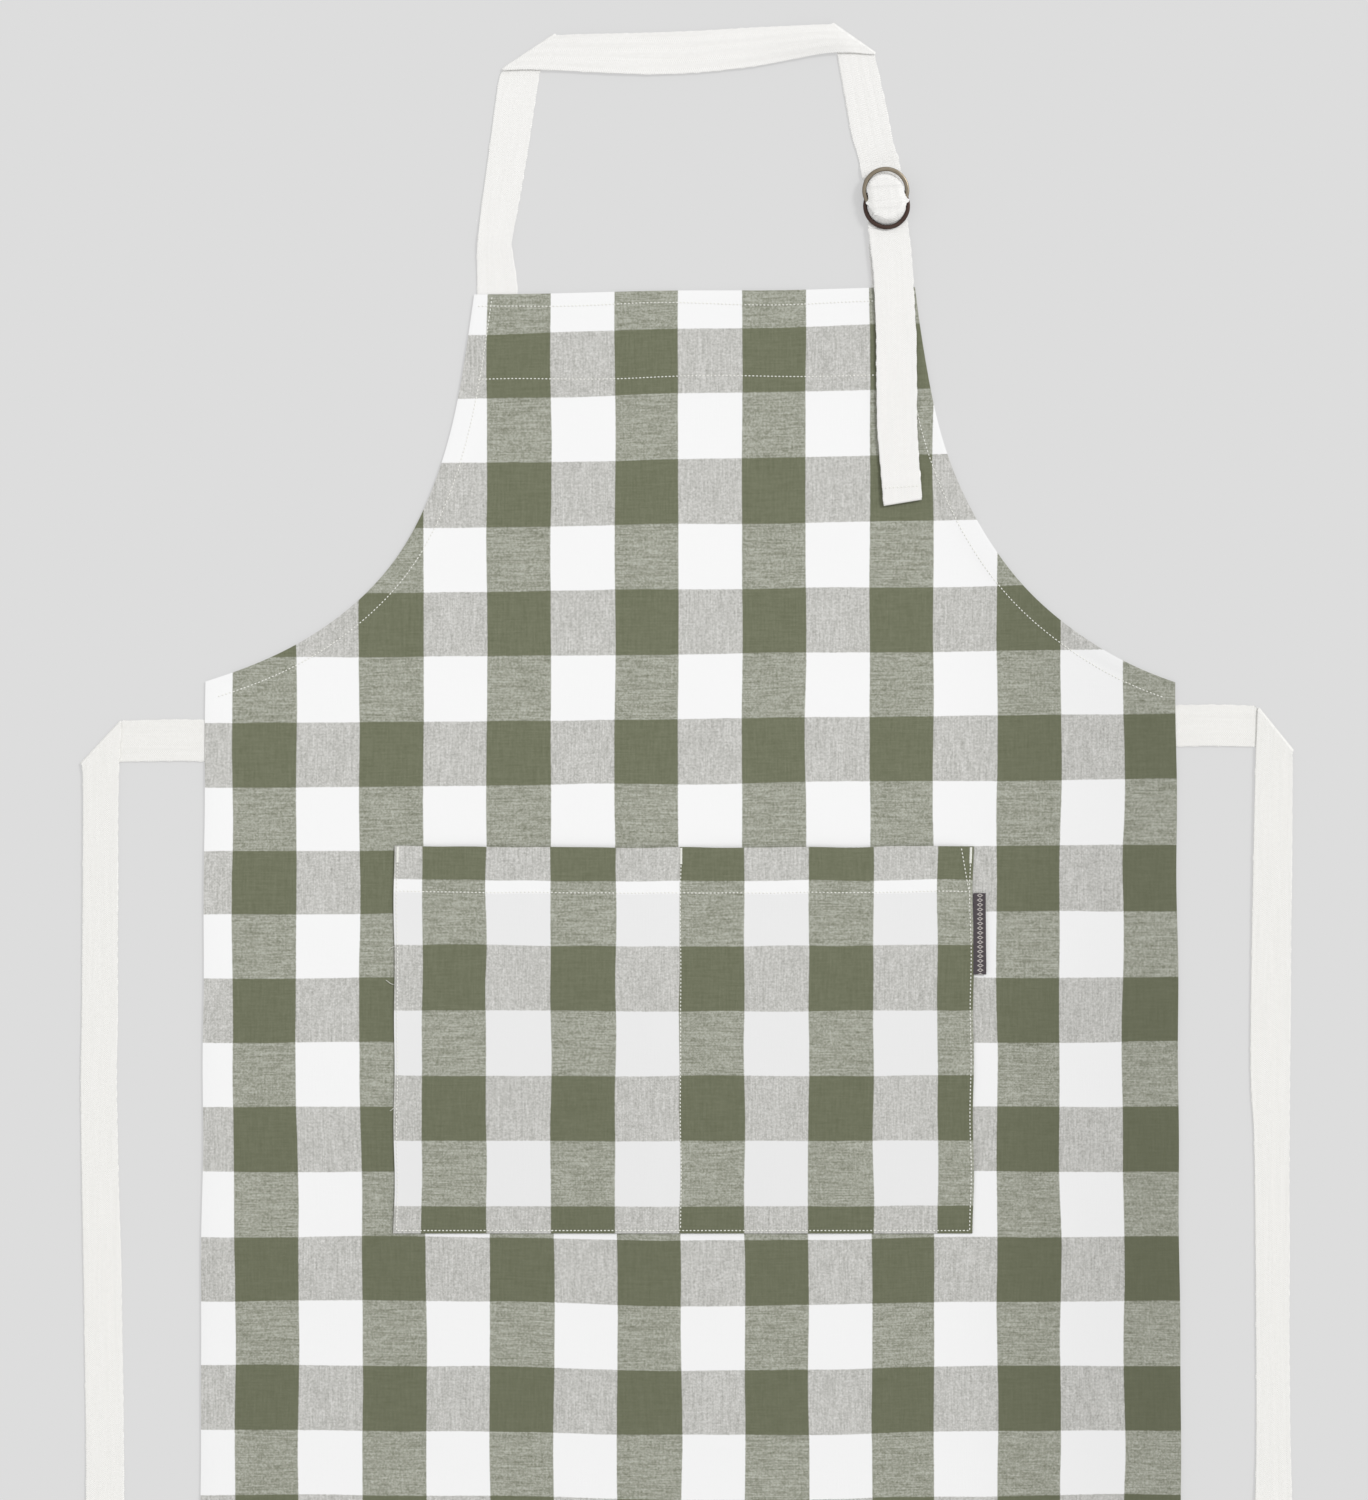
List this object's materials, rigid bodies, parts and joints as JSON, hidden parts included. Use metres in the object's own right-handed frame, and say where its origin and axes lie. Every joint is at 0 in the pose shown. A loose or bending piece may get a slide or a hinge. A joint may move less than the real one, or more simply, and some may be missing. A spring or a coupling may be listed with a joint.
{
  "type": "bib apron",
  "caption": "Gingham bib apron lying flat, with a divided patch pocket, waist ties and a neck strap that adjusts through metal rings.",
  "frame": {"origin": "middle of the whole apron's box, on the surface that it lies on", "axes": "+Y from the hem to the neck loop, +Z out of the front of the cloth, +X to the right seen from the front"},
  "size_m": [0.9084, 1.1438, 0.013],
  "materials": {
    "gingham_cloth": "plain-weave linen and cotton gingham, sage green and white, matt",
    "cotton_tape": "off-white twill tape, matt",
    "cotton_thread": "off-white sewing thread",
    "woven_label": "dark woven label with a plain lozenge motif",
    "ring_metal_pale": "antique pewter, lightly worn",
    "ring_metal_dark": "dark gunmetal bronze, lightly worn"
  },
  "bodies": {
    "apron": {"panel": "gingham_cloth", "bib_facing": "gingham_cloth", "armhole_hem_right": "gingham_cloth", "armhole_hem_left": "gingham_cloth", "side_hem_left": "gingham_cloth", "side_hem_right": "gingham_cloth", "bottom_hem": "gingham_cloth", "facing_stitch_upper": "cotton_thread", "facing_stitch_lower": "cotton_thread", "armhole_stitch_right": "cotton_thread", "armhole_stitch_left": "cotton_thread", "bottom_stitch": "cotton_thread", "pocket": "gingham_cloth", "pocket_edge_stitch": "cotton_thread", "pocket_divider_stitch": "cotton_thread", "pocket_hem_stitch_left": "cotton_thread", "pocket_hem_stitch_right": "cotton_thread", "pocket_bartack_left": "cotton_thread", "pocket_bartack_middle": "cotton_thread", "pocket_bartack_right": "cotton_thread", "neck_strap_root": "cotton_tape", "anchor_root": "cotton_tape", "tie_root_left": "cotton_tape", "tie_root_right": "cotton_tape"},
    "neck_loop": {"neck_strap": "cotton_tape", "anchor_loop": "cotton_tape"},
    "upper_ring": {"ring_upper": "ring_metal_pale"},
    "lower_ring": {"ring_lower": "ring_metal_dark"},
    "tail": {"strap_tail": "cotton_tape", "tail_hem_stitch": "cotton_thread"},
    "left_tie": {"tie_left": "cotton_tape"},
    "right_tie": {"tie_right": "cotton_tape"},
    "side_label": {"label": "woven_label"}
  },
  "joints": [
    {"name": "neck_fold", "type": "hinge", "parent": "apron", "child": "neck_loop", "pos_m": [0.0034, 0.36815, 0.0023], "axis": [1, 0, 0], "range_deg": [0, 120]},
    {"name": "tail_fold", "type": "hinge", "parent": "neck_loop", "child": "tail", "pos_m": [0.1522, 0.40204, 0.0041], "axis": [1, 0, 0], "range_deg": [-120, 0]},
    {"name": "upper_ring_slide", "type": "slide", "parent": "neck_loop", "child": "upper_ring", "axis": [-0.0663, 0.9978, 0], "range_m": [0, 0.008]},
    {"name": "lower_ring_slide", "type": "slide", "parent": "neck_loop", "child": "lower_ring", "axis": [0.0663, -0.9978, 0], "range_m": [0, 0.008]},
    {"name": "left_tie_lift", "type": "hinge", "parent": "apron", "child": "left_tie", "pos_m": [-0.36048, 0.03215, 0.0023], "axis": [0, 1, 0], "range_deg": [0, 150]},
    {"name": "right_tie_lift", "type": "hinge", "parent": "apron", "child": "right_tie", "pos_m": [0.36728, 0.04335, 0.0023], "axis": [0, -1, 0], "range_deg": [0, 150]},
    {"name": "label_flip", "type": "hinge", "parent": "apron", "child": "side_label", "pos_m": [0.21529, -0.11235, 0.0045], "axis": [0, -1, 0], "range_deg": [0, 150]}
  ],
  "couplings": [
    {"joint": "tail_fold", "follows": "neck_fold", "ratio": -1}
  ]
}
